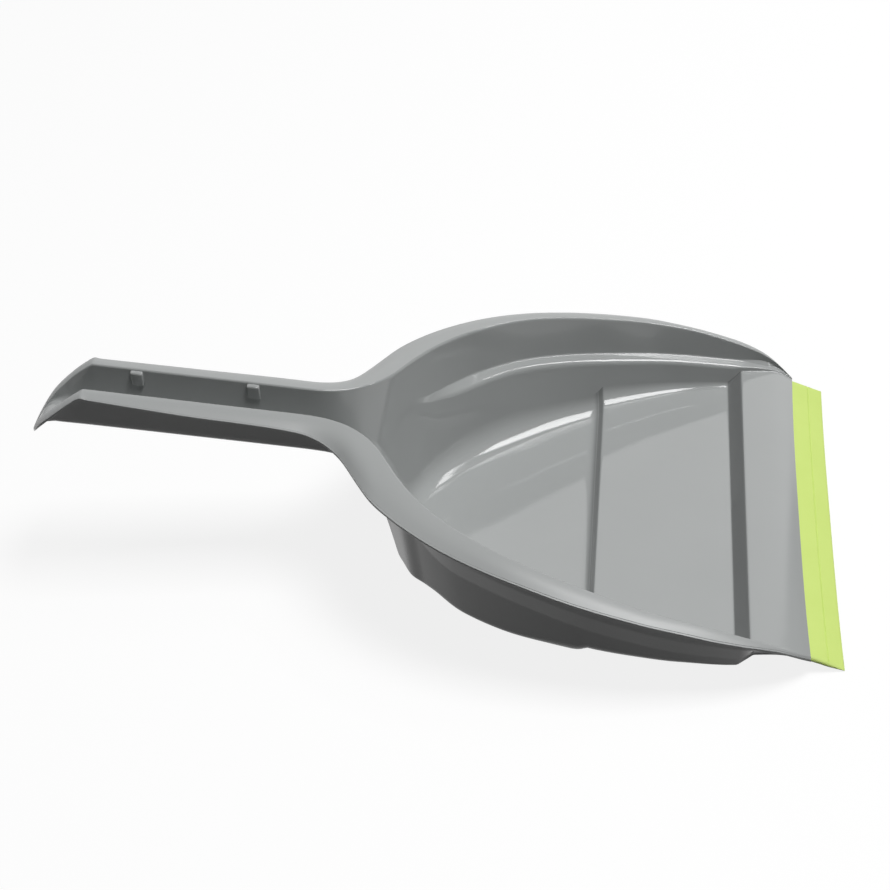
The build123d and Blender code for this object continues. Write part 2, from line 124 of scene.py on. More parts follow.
# Rear of the floor, which runs up into the rear wall and the channel's floor. Before that it rises a little:
# the two rises, inside and below, each have a start, an end and a power.
REAR_WALL_BACK = 160.0
REAR_WALL_LINE = ((150.0, 2.0), (173.0, 2.0), (177.5, 3.0), (179.8, 7.0), (181.2, 13.0), (183.2, 21.0),
                  (186.5, 30.0), (191.0, 37.8), (197.0, 43.6), (204.0, 46.6))
REAR_WALL_SOFTNESS = 1.2
REAR_RISE = 1.6
REAR_RISE_SOFTNESS = 2.0
REAR_RISE_INSIDE = (140.0, 176.0, 2.0)
REAR_RISE_BELOW = (156.0, 164.0, 1.0)
REAR_JOIN_SOFTNESS = 1.2
REAR_JOIN_BACKS = (130.0, 190.0)
CHANNEL_BACK = 230.0

# Underside: its steps are shifted against those inside, and it thins out at the handle's end
UNDERSIDE_SHIFTS = (-0.7, 1.8)
UNDERSIDE_SHIFT_BACK = 70.0
UNDERSIDE_REAR_BACK = 130.0
UNDERSIDE_MOST_STEEPNESS = 3.2
END_THINNING = 10.0
LEAST_FLOOR = 0.6

# Fillets between walls and floor, inside and outside: radii at places behind the lip
FILLET_INSIDE = ((LIP_DEPTH, 0.3), (34.0, 0.8), (39.0, 1.5), (43.0, 3.0), (60.0, 4.5), (97.0, 9.0),
                 (104.0, 9.5), (120.0, 11.5), (140.0, 13.7), (148.0, 13.3), (156.0, 12.5), (163.0, 11.5),
                 (168.0, 10.5), (186.0, 7.0), (NECK_BACK, 4.5), (OVERALL_LENGTH, 4.5))
FILLET_OUTSIDE = ((LIP_DEPTH, 0.6), (30.0, 1.2), (45.0, 1.5), (62.0, 5.0), (97.0, 7.0), (104.0, 9.0),
                  (112.0, 8.0), (134.0, 4.5), (150.0, 4.5), (160.0, 6.0), (168.0, 3.5), (178.0, 2.6),
                  (186.0, 4.0), (NECK_BACK, 5.0), (OVERALL_LENGTH, 4.0))

# Ledge on the side walls: its width, and the heights of its inner, convex edge and its outer, hollow one
LEDGE_FRONT_BACK = 14.0
LEDGE_REAR_BACK = 173.5
LEDGE_WIDTHS = ((LEDGE_FRONT_BACK, 0.2), (20.0, 2.4), (27.0, 3.8), (60.0, 4.0), (150.0, 4.0), (158.0, 3.2),
                (166.0, 1.4), (LEDGE_REAR_BACK, 0.05))
LEDGE_INNER = ((LIP_DEPTH, 7.05), (18.0, 10.2), (26.0, 12.4), (37.0, 13.9), (63.0, 17.9), (94.5, 23.5),
               (116.5, 28.0), (128.0, 30.1), (140.0, 31.7), (149.0, 32.2), (157.0, 33.1), (165.0, 35.2),
               (169.0, 36.8), (LEDGE_REAR_BACK, 40.4))
LEDGE_OUTER = ((LIP_DEPTH, 7.2), (18.0, 10.5), (26.0, 12.7), (37.0, 14.3), (52.6, 17.2), (68.4, 20.0),
               (99.8, 26.4), (128.0, 32.0), (139.0, 33.7), (148.0, 34.75), (157.0, 35.9), (165.0, 37.7),
               (169.5, 39.1), (LEDGE_REAR_BACK, 40.9))
LEDGE_WALL_SHARES = (0.62, 0.70)
LEDGE_LOW_SHARES = (0.15, 0.7)
LEDGE_LOW_MOST_ROOM = 8.0
LEDGE_HIGH_SHARES = (0.1, 0.75)

# Outside of the ledge, a soft bend: how far up and out its two corners lie, in half-widths of the ledge
BEND_UPPER = (1.5, 0.45)
BEND_LOWER = (-2.5, -0.1)
BEND_SINK = 0.25
BEND_GAP = 0.05
BEND_LOWER_SHARE = 0.3

# Outside of the walls: they are thicker at the rear corners, and thin where the flange is narrow
REAR_CORNER_EXTRA = 1.2
REAR_CORNER_GROWS = (166.0, 174.0)
REAR_CORNER_ENDS = (190.0, 182.0)
THIN_WALL_SHARE = 0.35
THIN_WALL_LEAST = 0.1
FOOT_LEAN_SHARE = 0.6
FOOT_MOST_LEAN = 0.5
FOOT_LEAST_HALF_WIDTH = 0.25

# Handle channel, and the slanted end that takes over behind the corner
CHANNEL_HALF_WIDTH = 9.5
CHANNEL_FLOOR_HALF_WIDTH = 6.6
CHANNEL_FLOOR_BACK = 200.0
CHANNEL_MIDDLE_BACK = 260.0
CHANNEL_DEPTH = 18.0
CHANNEL_STRAIGHT_BACKS = (280.0, 300.0)
END_FLARE_BACK = 319.0
END_FLARE_DROP = 9.0
END_HEIGHTS = ((308.5, 79.2), (314.0, 75.4), (322.7, 68.3), (327.3, 62.8), (OVERALL_LENGTH, 58.8))
END_INNER = ((308.5, 9.5), (313.5, 9.2), (320.8, 6.8), (325.1, 3.5), (326.4, 1.9), (327.2, 0.2),
             (OVERALL_LENGTH, 0.1))
END_OUTER = ((308.5, 16.0), (311.2, 16.0), (314.1, 15.8), (319.9, 14.6), (322.7, 13.2), (325.2, 10.9),
             (327.3, 7.9), (329.6, 2.4), (OVERALL_LENGTH, 0.4))
END_SOFTNESS = 0.5
END_EDGE_SOFTNESS = 0.3
END_FOOT_LEAD = 30.0
END_LEAST_DEPTH = 0.15
END_LEAST_HALF_WIDTH = 0.05

# Nubs on the channel's walls, two on each; those on the near wall sit a little lower
NUB_SHARES = (0.255, 0.795)
NUB_SIZE = (5.4, 2.6, 6.5)
NUB_SUNK = 1.0
NUB_BELOW_CREST = 0.6
NUB_ROUND = 0.9
NUB_ROUND_POINTS = 5
NUB_ROUND_START = 0.75
NUB_TOP_FALL = 0.25
NEAR_NUB_DROP = 0.8

# Soft lip, and the tongue of the pan that reaches under its root
LIP_HALF_LENGTH = CREST_FRONT_HALF_WIDTH
LIP_CREASE_BACK = 6.0
LIP_CREASE_HEIGHT = 3.65
LIP_CREASE_THICKNESS = 1.6
LIP_TIP_THICKNESS = 0.4
LIP_TIP_ROUND = 0.1
LIP_TIP_SHARES = (0.88, 0.55)
LIP_TOP_START = 0.35
LIP_UNDER_START = 0.5
LIP_ROOT_POINTS = 9
LIP_BLADE_POINTS = 8
LIP_UNDER_POINTS = 6
LIP_END_RADIUS = 2.0
LIP_END_DROP = 0.8
LIP_END_TURNS_DEG = (15.0, 30.0, 45.0, 60.0, 75.0, 90.0)
LIP_STRAIGHT_HALF_LENGTH = 98.4
LIP_COLUMNS = 81
GROOVE_DEPTH = 0.26
GROOVE_SHOULDER = 0.03
GROOVE_HALF_WIDTHS = (0.2, 0.5)
TONGUE_REACH = 4.2
TONGUE_THICKNESS = 0.9
TONGUE_ROOT = 1.0
TONGUE_HALF_LENGTH = LIP_HALF_LENGTH - 0.1
TONGUE_NOSE = (0.05, 0.4, 0.85)
TONGUE_COLUMNS = 41
SLOT_LOWER = 0.15
SLOT_UPPER = 0.1

# The front edge is bowed back a little in the middle
FRONT_BOW = 1.0
TIP_BOW = 0.7
BOW_HALF_LENGTH = 100.0
BOW_FADE = 22.0
BOW_POWER = 3

# Places of the cross-sections: each stretch has a step that suits its detail, up to the next stretch
STRETCHES = ((LIP_DEPTH, 0.6), (32.0, 0.35), (45.0, 1.4), (94.0, 0.35), (106.0, 1.2), (150.0, 0.7),
             (178.0, 0.5), (216.0, 2.0), (300.0, 0.3), (306.0, 0.5), (326.0, 0.16))
LAST_STRETCH = 0.8
LAST_PLACES = 10
SHARP_DEG = 50.0

# Bends of a half-section, from inside to outside: the radius or its table, the steps of the arc, the points
# on the line before it, and the shares of the lines before and after it that the arc may use
Bend = namedtuple("Bend", "name radius arc_steps line_points before after")
BENDS = (
    Bend("foot_inside", FILLET_INSIDE, 14, 6, 0.95, 0.7),
    Bend("ledge_inner", 2.6, 6, 3, 0.25, 0.55),
    Bend("ledge_outer", 1.0, 6, 2, 0.45, 0.3),
    Bend("crest", 0.9, 6, 4, 0.4, 0.3),
    Bend("crown", 60.0, 8, 0, 0.6, 0.6),
    Bend("step_top", 0.15, 3, 0, 0.3, 0.4),
    Bend("step_low", 0.12, 2, 0, 0.4, 0.3),
    Bend("edge", 0.25, 3, 0, 0.4, 0.3),
    Bend("edge_below", 0.3, 3, 0, 0.4, 0.3),
    Bend("flange_root", 0.8, 4, 3, 0.4, 0.3),
    Bend("bend_upper", 14.0, 4, 2, 0.5, 0.5),
    Bend("bend_lower", 14.0, 4, 1, 0.5, 0.35),
    Bend("foot_outside", FILLET_OUTSIDE, 9, 2, 0.6, 0.95))
UNDERSIDE_POINTS = 6
LINE_INSET = 0.03
LEAST_CUT = 0.3
MOST_TURN = 3.0
TINY = 1e-6


def monotone(points, x):
    """Cubic through the points that never overshoots them, evaluated at the array x."""
    xs = np.array([p[0] for p in points])
    ys = np.array([p[1] for p in points])
    span = np.diff(xs)
    rise = np.diff(ys) / span
    slope = np.empty(len(xs))
    slope[0] = rise[0]
    slope[-1] = rise[-1]
    before, after = rise[:-1], rise[1:]
    weight_before = 2 * span[1:] + span[:-1]
    weight_after = span[1:] + 2 * span[:-1]
    same = before * after > 0
    safe_before = np.where(same, before, 1.0)
    safe_after = np.where(same, after, 1.0)
    mean = (weight_before + weight_after) / (weight_before / safe_before + weight_after / safe_after)
    slope[1:-1] = np.where(same, mean, 0.0)
    i = np.clip(np.searchsorted(xs, x, side="right") - 1, 0, len(span) - 1)
    t = (x - xs[i]) / span[i]
    inside = ((1 + 2 * t) * (1 - t) ** 2 * ys[i] + t * (1 - t) ** 2 * span[i] * slope[i]
              + t * t * (3 - 2 * t) * ys[i + 1] - t * t * (1 - t) * span[i] * slope[i + 1])
    below = ys[0] + slope[0] * (x - xs[0])
    above = ys[-1] + slope[-1] * (x - xs[-1])
    return np.where(x < xs[0], below, np.where(x > xs[-1], above, inside))


# Dense places on which the curves along the part are worked out
DENSE_STEP = 0.1
DENSE = np.arange(-20.0, 350.0, DENSE_STEP)


def blurred(values, width):
    """The dense curve, softened by a bell of the given width in millimetres."""
    reach = int(math.ceil(4 * width / DENSE_STEP))
    offsets = np.arange(-reach, reach + 1) * DENSE_STEP
    bell = np.exp(-0.5 * (offsets / width) ** 2)
    bell /= bell.sum()
    start = values[0] + (values[1] - values[0]) * np.arange(-reach, 0)
    end = values[-1] + (values[-1] - values[-2]) * np.arange(1, reach + 1)
    return np.convolve(np.concatenate([start, values, end]), bell, mode="valid")


def eased(x, start, end):
    """0 at start and 1 at end, level at both; start may be the larger one."""
    share = np.clip((x - start) / (end - start), 0.0, 1.0)
    return share * share * (3 - 2 * share)


def steepness(values):
    """Length of the dense curve for each millimetre along the part."""
    return np.hypot(1.0, np.gradient(values, DENSE_STEP))


def mixed(first, second, share):
    return (1 - share) * first + share * second


def value_at(back, values):
    return float(np.interp(back, DENSE, values))


# Crest and flange edge in front of the handle's corner
in_front = DENSE < CORNER_BACK
crest_plan = blurred(monotone([(LIP_DEPTH, CREST_FRONT_HALF_WIDTH)]
                              + [(NECK_BACK * a, PAN_HALF_WIDTH * b) for a, b in RIM_PLAN]
                              + [(place, CHANNEL_HALF_WIDTH)
                                 for place in (NECK_BACK, CHANNEL_MIDDLE_BACK, CORNER_BACK)], DENSE),
                     CREST_PLAN_SOFTNESS)
crest_line = blurred(monotone([(LIP_DEPTH, CREST_FRONT_HEIGHT)]
                              + [(NECK_BACK * a, CREST_NECK_HEIGHT * b) for a, b in RIM_RISE]
                              + [(NECK_BACK, CREST_NECK_HEIGHT), (CORNER_BACK, CREST_END_HEIGHT)], DENSE),
                     CREST_LINE_SOFTNESS)
edge_plan = blurred(monotone(EDGE_PLAN, DENSE), EDGE_PLAN_SOFTNESS)
edge_line = blurred(monotone(EDGE_RISE, DENSE), EDGE_RISE_SOFTNESS)

# The slanted end of the handle takes over behind the corner
end_height = monotone(((CORNER_BACK, value_at(CORNER_BACK, crest_line)),) + END_HEIGHTS, DENSE)
end_inner = monotone(((CORNER_BACK, CHANNEL_HALF_WIDTH),) + END_INNER, DENSE)
end_outer = monotone(((CORNER_BACK, value_at(CORNER_BACK, edge_plan)),) + END_OUTER, DENSE)
flare = np.clip((DENSE - END_FLARE_BACK) / (OVERALL_LENGTH - END_FLARE_BACK), 0.0, None)
channel_line = crest_line - CHANNEL_DEPTH - END_FLARE_DROP * flare ** 2
droop = np.where(in_front, crest_line - edge_line, 0.0)
crest_height = blurred(np.where(in_front, crest_line, end_height), END_SOFTNESS)
crest_half = blurred(np.where(in_front, crest_plan, end_inner), END_SOFTNESS)
edge_half = blurred(np.where(in_front, edge_plan, end_outer), END_EDGE_SOFTNESS)
edge_height = crest_height - blurred(droop, DROOP_SOFTNESS)

# Stepped floor: the apron, the middle level, and the cove down to the rear level
rear_wall = monotone(REAR_WALL_LINE + ((NECK_BACK, value_at(NECK_BACK, channel_line)),), DENSE)
rear_line = np.where(DENSE < NECK_BACK, rear_wall, channel_line)
hull_bottom = blurred(np.where(DENSE < REAR_WALL_BACK, WALL, rear_line), REAR_WALL_SOFTNESS)
front_levels = np.interp(DENSE, [p[0] for p in FRONT_STEP], [p[1] for p in FRONT_STEP])
cove_share = np.clip((MIDDLE_BACK + COVE_DEPTH - DENSE) / COVE_DEPTH, 0.0, 1.0)
cove = WALL + (MIDDLE_HEIGHT - WALL) * cove_share ** COVE_POWER
levels = np.where(DENSE < MIDDLE_BACK, front_levels, cove)
stepped = np.where(DENSE > COVE_SOFT_BACK, blurred(levels, COVE_SOFTNESS), blurred(levels, STEP_SOFTNESS))
stepped += blurred(monotone(APRON_LINE, np.minimum(DENSE, APRON_BACK)), APRON_SOFTNESS) - APRON_HEIGHT


def with_rear(start, end, power):
    """The stepped floor, risen a little at the rear and run into the rear wall and the channel's floor."""
    share = np.clip((DENSE - start) / (end - start), 0.0, 1.0)
    level = stepped + blurred(REAR_RISE * share ** power, REAR_RISE_SOFTNESS)
    lower, upper = np.minimum(level, hull_bottom), np.maximum(level, hull_bottom)
    soft = REAR_JOIN_SOFTNESS * np.log1p(np.exp((lower - upper) / REAR_JOIN_SOFTNESS))
    joined = upper + soft * eased(DENSE, *REAR_JOIN_BACKS)
    return np.where(DENSE > CHANNEL_BACK, channel_line, joined)


lowest_crest = crest_height - END_LEAST_DEPTH
floor_height = with_rear(*REAR_RISE_INSIDE)
fall_of_floor = -np.gradient(floor_height, DENSE_STEP)
# Mask of painted shade on the risers of the floor's steps, from how steeply the floor falls; it darkens
# their colour in the pan's material
riser_shade_mask = np.where(DENSE < RISER_SHADE_LAST_BACK, eased(fall_of_floor, *RISER_SHADE_SLOPES), 0.0)
floor_height = np.minimum(floor_height, lowest_crest)
under_height = np.minimum(with_rear(*REAR_RISE_BELOW), lowest_crest)

# Foot of the walls
wall_foot = blurred(monotone([(LIP_DEPTH, FLOOR_HALF_WIDTH)]
                             + [(FLOOR_REAR_BACK * a, FLOOR_HALF_WIDTH * b) for a, b in FLOOR_PLAN]
                             + [(FLOOR_REAR_BACK, FLOOR_REAR_HALF_WIDTH),
                                (CHANNEL_FLOOR_BACK, CHANNEL_FLOOR_HALF_WIDTH),
                                (OVERALL_LENGTH, CHANNEL_FLOOR_HALF_WIDTH)], DENSE), FLOOR_PLAN_SOFTNESS)
channel_lean = (CHANNEL_HALF_WIDTH - CHANNEL_FLOOR_HALF_WIDTH) / CHANNEL_DEPTH
end_depth = np.maximum(crest_height - floor_height, END_LEAST_DEPTH)
end_foot = np.maximum(crest_half - channel_lean * end_depth, END_LEAST_HALF_WIDTH)
wall_foot = np.where(DENSE > CORNER_BACK - END_FOOT_LEAD, np.minimum(wall_foot, end_foot), wall_foot)
foot_height = np.minimum(hull_bottom, floor_height)

# Underside
bottom_drop = WALL * np.minimum(steepness(hull_bottom), UNDERSIDE_MOST_STEEPNESS)
thinned = eased(DENSE, END_FLARE_BACK, END_FLARE_BACK + END_THINNING)
bottom_drop = mixed(bottom_drop, FLANGE_THICKNESS, thinned)
shifts = np.where(DENSE < UNDERSIDE_SHIFT_BACK, *UNDERSIDE_SHIFTS)
bottom_line = np.interp(DENSE - shifts, DENSE, floor_height) - bottom_drop
bottom_line = np.where(DENSE < UNDERSIDE_REAR_BACK, bottom_line, under_height - bottom_drop)

# Slant of the walls in plan, by which the sections are narrowed while their bends are made
CREST_MOST_STEEPNESS = 2.2
FOOT_MOST_STEEPNESS = 2.4
PLAN_STEEPNESS_SOFTNESS = 3.0
crest_steep = np.minimum(steepness(crest_plan), CREST_MOST_STEEPNESS)
foot_steep = np.minimum(steepness(wall_foot), FOOT_MOST_STEEPNESS)
plan_steep = blurred(0.5 * (crest_steep + foot_steep), PLAN_STEEPNESS_SOFTNESS)
plan_steep = mixed(plan_steep, 1.0, eased(DENSE, *CHANNEL_STRAIGHT_BACKS))


def ledge_line(table, wall_share):
    """Height of one edge of the ledge, which melts into the wall behind its rear point."""
    on_ledge = monotone(table, np.minimum(DENSE, LEDGE_REAR_BACK))
    on_wall = hull_bottom + wall_share * (crest_height - hull_bottom)
    return mixed(on_ledge, on_wall, eased(DENSE, LEDGE_REAR_BACK, NECK_BACK))


ledge_inner = ledge_line(LEDGE_INNER, LEDGE_WALL_SHARES[0])
ledge_outer = ledge_line(LEDGE_OUTER, LEDGE_WALL_SHARES[1])
on_ledge = (DENSE > LEDGE_FRONT_BACK) & (DENSE < LEDGE_REAR_BACK)
ledge_width = np.where(on_ledge, monotone(LEDGE_WIDTHS, DENSE), 0.0)


def section_places():
    """Places of the cross-sections, closer together towards the very end of the handle."""
    last_start = OVERALL_LENGTH - LAST_STRETCH
    places = []
    ends = [start for start, _ in STRETCHES[1:]] + [last_start]
    for (start, step), end in zip(STRETCHES, ends):
        count = int(round((end - start) / step))
        places += list(np.linspace(start, end, count, endpoint=False))
    left = np.linspace(1.0, 0.0, LAST_PLACES)
    return np.array(places + list(OVERALL_LENGTH - LAST_STRETCH * left ** 2))


stations = section_places()


def at(values):
    return np.interp(stations, DENSE, values)


def pair(across, up):
    """One point for each section, from half-widths and heights."""
    return np.stack([across, up], axis=1)


class Wall:
    """The side wall of every section, straight from its foot to the crest, and the ledge's place on it."""

    def __init__(self, scale):
        self.floor = at(floor_height)
        self.foot = pair(at(wall_foot) / scale, at(foot_height))
        self.crest = pair(at(crest_half) / scale, at(crest_height))
        self.run = self.crest - self.foot
        self.lean = np.arctan2(self.run[:, 0], self.run[:, 1])
        room = self.crest[:, 1] - self.floor
        least = LEDGE_LOW_SHARES[0] * np.minimum(room, LEDGE_LOW_MOST_ROOM)
        self.low = np.clip(at(ledge_inner), self.floor + least, self.floor + LEDGE_LOW_SHARES[1] * room)
        above = self.crest[:, 1] - self.low
        self.high = np.clip(at(ledge_outer), self.low + LEDGE_HIGH_SHARES[0] * above,
                            self.low + LEDGE_HIGH_SHARES[1] * above)
        self.half_ledge = at(ledge_width) / 2

    def point(self, height, shift):
        """Points on the wall at the given heights, moved outwards by the shift."""
        share = (height - self.foot[:, 1]) / self.run[:, 1]
        return pair(self.foot[:, 0] + share * self.run[:, 0] + shift, height)


def inside_corners(wall):
    """Middle of the floor, foot of the wall, and the ledge's two edges."""
    inner = wall.point(wall.low, -wall.half_ledge)
    outer = wall.point(wall.high, wall.half_ledge)
    share = (wall.floor - wall.foot[:, 1]) / (inner[:, 1] - wall.foot[:, 1])
    corner = pair(wall.foot[:, 0] + share * (inner[:, 0] - wall.foot[:, 0]), wall.floor)
    return [pair(0 * wall.floor, wall.floor), corner, inner, outer]


def flange_corners(crest, edge, breadth):
    """Crest, crown, small step, edge, and the underside back to the wall."""
    fall = (edge[:, 1] - crest[:, 1]) / breadth
    inset = np.minimum(STEP_INSET, STEP_MOST_SHARE * breadth)
    fade = 1 - STEP_FADE * eased(stations, *STEP_FADE_BACKS)
    drop = STEP_DROP * np.minimum(1.0, inset / STEP_INSET) * fade
    step_top = pair(edge[:, 0] - inset, edge[:, 1] - fall * inset)
    step_low = step_top - pair(-STEP_SLANT * drop, drop)
    chord = step_top - crest
    crown = crest + 0.5 * chord + CROWN_SHARE * pair(-chord[:, 1], chord[:, 0])
    edge_low = pair(edge[:, 0], edge[:, 1] - drop)
    edge_below = pair(edge[:, 0], edge[:, 1] - FLANGE_THICKNESS)
    side = np.minimum(WALL, FLANGE_ROOT_SHARE * breadth)
    root = pair(crest[:, 0] + side, crest[:, 1] + fall * side - FLANGE_THICKNESS)
    return [crest, crown, step_top, step_low, edge_low, edge_below, root]


def outside_corners(wall, corner, root, breadth):
    """The ledge's soft bend, the foot of the wall, and the middle of the underside."""
    extra = REAR_CORNER_EXTRA * eased(stations, *REAR_CORNER_GROWS) * eased(stations, *REAR_CORNER_ENDS)
    thick = np.minimum(WALL + extra, THIN_WALL_SHARE * breadth + THIN_WALL_LEAST)
    half = wall.half_ledge
    outwards = pair(thick, -BEND_SINK * half * thick)
    upper = wall.point(wall.high + BEND_UPPER[0] * half, BEND_UPPER[1] * half) + outwards
    lower = wall.point(wall.low + BEND_LOWER[0] * half, BEND_LOWER[1] * half) + outwards
    bottom = np.minimum(at(bottom_line), wall.floor - LEAST_FLOOR)
    drawn_in = FOOT_LEAN_SHARE * (wall.floor - bottom) * np.tan(np.clip(wall.lean, 0.0, FOOT_MOST_LEAN))
    foot = pair(np.maximum(corner[:, 0] + thick - drawn_in, FOOT_LEAST_HALF_WIDTH), bottom)
    upper[:, 1] = np.minimum(upper[:, 1], root[:, 1] - BEND_GAP)
    lower[:, 1] = np.minimum(lower[:, 1], upper[:, 1] - BEND_GAP)
    lower[:, 1] = np.maximum(lower[:, 1], bottom + BEND_LOWER_SHARE * (upper[:, 1] - bottom))
    return [upper, lower, foot, pair(0 * bottom, bottom)]


def line_shares(count):
    """Places of a line's points: near both of its ends, and evenly between."""
    return [LINE_INSET, *np.linspace(0, 1, count + 2)[1:-1], 1 - LINE_INSET]


def rounded(corners):
    """The outlines of all sections, an array of (sections, points, 2), with their inner corners rounded."""
    legs = np.diff(corners, axis=1)
    lengths = np.maximum(np.linalg.norm(legs, axis=2), TINY)
    units = legs / lengths[:, :, None]
    start = corners[:, 0]
    out = [start]
    for k, bend in enumerate(BENDS, start=1):
        corner, before, after = corners[:, k], units[:, k - 1], units[:, k]
        varies = isinstance(bend.radius, tuple)
        radius = at(monotone(bend.radius, DENSE)) if varies else np.full(len(stations), bend.radius)
        turn = np.arccos(np.clip((before * after).sum(1), -1.0, 1.0))
        cut = radius * np.tan(np.minimum(turn, MOST_TURN) / 2)
        cut = np.maximum(cut, LEAST_CUT * np.minimum(radius, 1.0))
        cut = np.minimum(cut, bend.before * lengths[:, k - 1])
        cut = np.minimum(cut, bend.after * lengths[:, k])
        first = corner - before * cut[:, None]
        last = corner + after * cut[:, None]
        out += [start + (first - start) * t for t in line_shares(bend.line_points)]
        weight = np.cos(turn / 2)
        for t in np.linspace(0, 1, bend.arc_steps + 1):
            a, b, c = (1 - t) ** 2, 2 * t * (1 - t) * weight, t * t
            point = a * first + b[:, None] * corner + c * last
            out.append(point / (a + b + c)[:, None])
        start = last
    end = corners[:, -1]
    out += [start + (end - start) * t for t in line_shares(UNDERSIDE_POINTS)]
    return np.stack(out + [end], axis=1)


def half_sections():
    """Outlines of the +Y half, from the floor's middle to the underside's, with the satin shares and the
    shares of painted shade on the risers.

    The half-widths are narrowed by the wall's slant in plan while the bends are made, so that the radii
    come out true across the wall."""
    scale = at(plan_steep)
    wall = Wall(scale)
    edge = pair(at(edge_half) / scale, at(edge_height))
    breadth = np.maximum(edge[:, 0] - wall.crest[:, 0], FLANGE_LEAST_BREADTH)
    inside = inside_corners(wall)
    flange = flange_corners(wall.crest, edge, breadth)
    outside = outside_corners(wall, inside[1], flange[-1], breadth)
    points = rounded(np.stack(inside + flange + outside, axis=1))
    points[:, :, 0] *= scale[:, None]
    arc_ends = {}
    index = 0
    for bend in BENDS:
        index += len(line_shares(bend.line_points)) + bend.arc_steps + 1
        arc_ends[bend.name] = index
    satin = np.zeros(points.shape[:2])
    satin[:, arc_ends["crest"] - 1:arc_ends["edge"] + 1] = 1.0
    # Share of painted shade on the risers, on the points from the floor's middle to the end of the foot's
    # fillet
    riser_shade = np.zeros(points.shape[:2])
    riser_shade[:, :arc_ends["foot_inside"] + 1] = at(riser_shade_mask)[:, None]
    return points, satin, riser_shade


def front_bow(y, back):
    """How far the front is bowed back here: most at the lip's root, less at its tip and none behind."""
    size = np.interp(back, [0.0, LIP_DEPTH, LIP_DEPTH + BOW_FADE], [TIP_BOW, FRONT_BOW, 0.0])
    return size * np.clip(1 - np.abs(y / BOW_HALF_LENGTH) ** BOW_POWER, 0.0, 1.0)


def add_mesh(name, verts, faces):
    mesh = bpy.data.meshes.new(name)
    mesh.from_pydata([tuple(v) for v in verts], [], faces)
    mesh.validate()
    mesh.update()
    obj = bpy.data.objects.new(name, mesh)
    bpy.context.scene.collection.objects.link(obj)
    for polygon in mesh.polygons:
        polygon.use_smooth = True
    mesh.set_sharp_from_angle(angle=math.radians(SHARP_DEG))
    return obj


def rounded_box(centre, size, radius):
    """Vertices of a divided cube, pulled on to the offset of a smaller box, and its faces."""
    half = np.array(size) / 2
    steps = np.concatenate([np.linspace(-1, -NUB_ROUND_START, NUB_ROUND_POINTS),
                            np.linspace(NUB_ROUND_START, 1, NUB_ROUND_POINTS)])
    verts = []
    faces = []
    index = {}

    def vertex(p):
        key = tuple(np.round(p, 6))
        if key not in index:
            core = np.clip(p * half, radius - half, half - radius)
            away = p * half - core
            index[key] = len(verts)
            verts.append(core + away / np.linalg.norm(away) * radius + np.array(centre))
        return index[key]

    def quad(axis, side, i, j):
        others = [a for a in range(3) if a != axis]
        corners = []
        for di, dj in ((0, 0), (1, 0), (1, 1), (0, 1)):
            p = np.zeros(3)
            p[axis] = side
            p[others[0]] = steps[i + di]
            p[others[1]] = steps[j + dj]
            corners.append(vertex(p))
        flip = (side > 0) == (axis == 1)
        return corners[::-1] if flip else corners

    for axis in range(3):
        for side in (-1.0, 1.0):
            for i in range(len(steps) - 1):
                faces += [quad(axis, side, i, j) for j in range(len(steps) - 1)]
    return verts, faces


def make_nub(place, side):
    """Small block high on a wall of the channel, its top falling towards the middle."""
    depth, height = NUB_SIZE[1:]
    slope = (CREST_END_HEIGHT - CREST_NECK_HEIGHT) / (CORNER_BACK - NECK_BACK)
    top = value_at(place, crest_line) - NUB_BELOW_CREST
    wall = CHANNEL_HALF_WIDTH - channel_lean * (NUB_BELOW_CREST + height / 2)
    low = NEAR_NUB_DROP if side < 0 else 0.0
    centre = (OVERALL_LENGTH / 2 - place, side * (wall + NUB_SUNK - depth / 2), top - low - height / 2)
    block, faces = rounded_box(centre, NUB_SIZE, NUB_ROUND)
    verts = []
    for x, y, z in block:
        inwards = max(wall - side * y, 0.0)
        up_share = (z - (top - height)) / height
        verts.append((x, y, z + slope * (centre[0] - x) - NUB_TOP_FALL * inwards * up_share))
    return verts, faces


def shell_faces(around):
    """Quads between neighbouring sections."""
    faces = []
    for s in range(len(stations) - 1):
        for p in range(around):
            q = (p + 1) % around
            faces.append((s * around + p, s * around + q, (s + 1) * around + q, (s + 1) * around + p))
    return faces


def front_cap(y, count, around):
    """Triangles between the upper and the lower line of the first section, taken from side to side."""
    tip = int(np.argmax(y[:count]))
    upper = [(i if i >= 0 else around + i) for i in range(tip, -tip - 1, -1)]
    lower = [tip] + [i % around for i in range(tip + 1, around - tip)] + [around - tip]
    faces = []
    i = j = 0
    while i < len(upper) - 1 or j < len(lower) - 1:
        more_up = i < len(upper) - 1
        more_down = j < len(lower) - 1
        if more_up and (not more_down or y[upper[i + 1]] >= y[lower[j + 1]]):
            triangle = (upper[i], upper[i + 1], lower[j])
            i += 1
        else:
            triangle = (upper[i], lower[j + 1], lower[j])
            j += 1
        if len(set(triangle)) == 3:
            faces.append(triangle)
    return faces


def rear_cap(count, around):
    """Faces that close the last section, from each point to its mirror image."""
    last = (len(stations) - 1) * around
    faces = []
    for p in range(count - 1):
        quad = [last + p + 1, last + (around - p - 1) % around, last + (around - p) % around, last + p]
        quad = list(dict.fromkeys(quad))
        if len(quad) > 2:
            faces.append(quad)
    return faces


def both_halves(values):
    return np.concatenate([values, values[:, -2:0:-1]], axis=1)


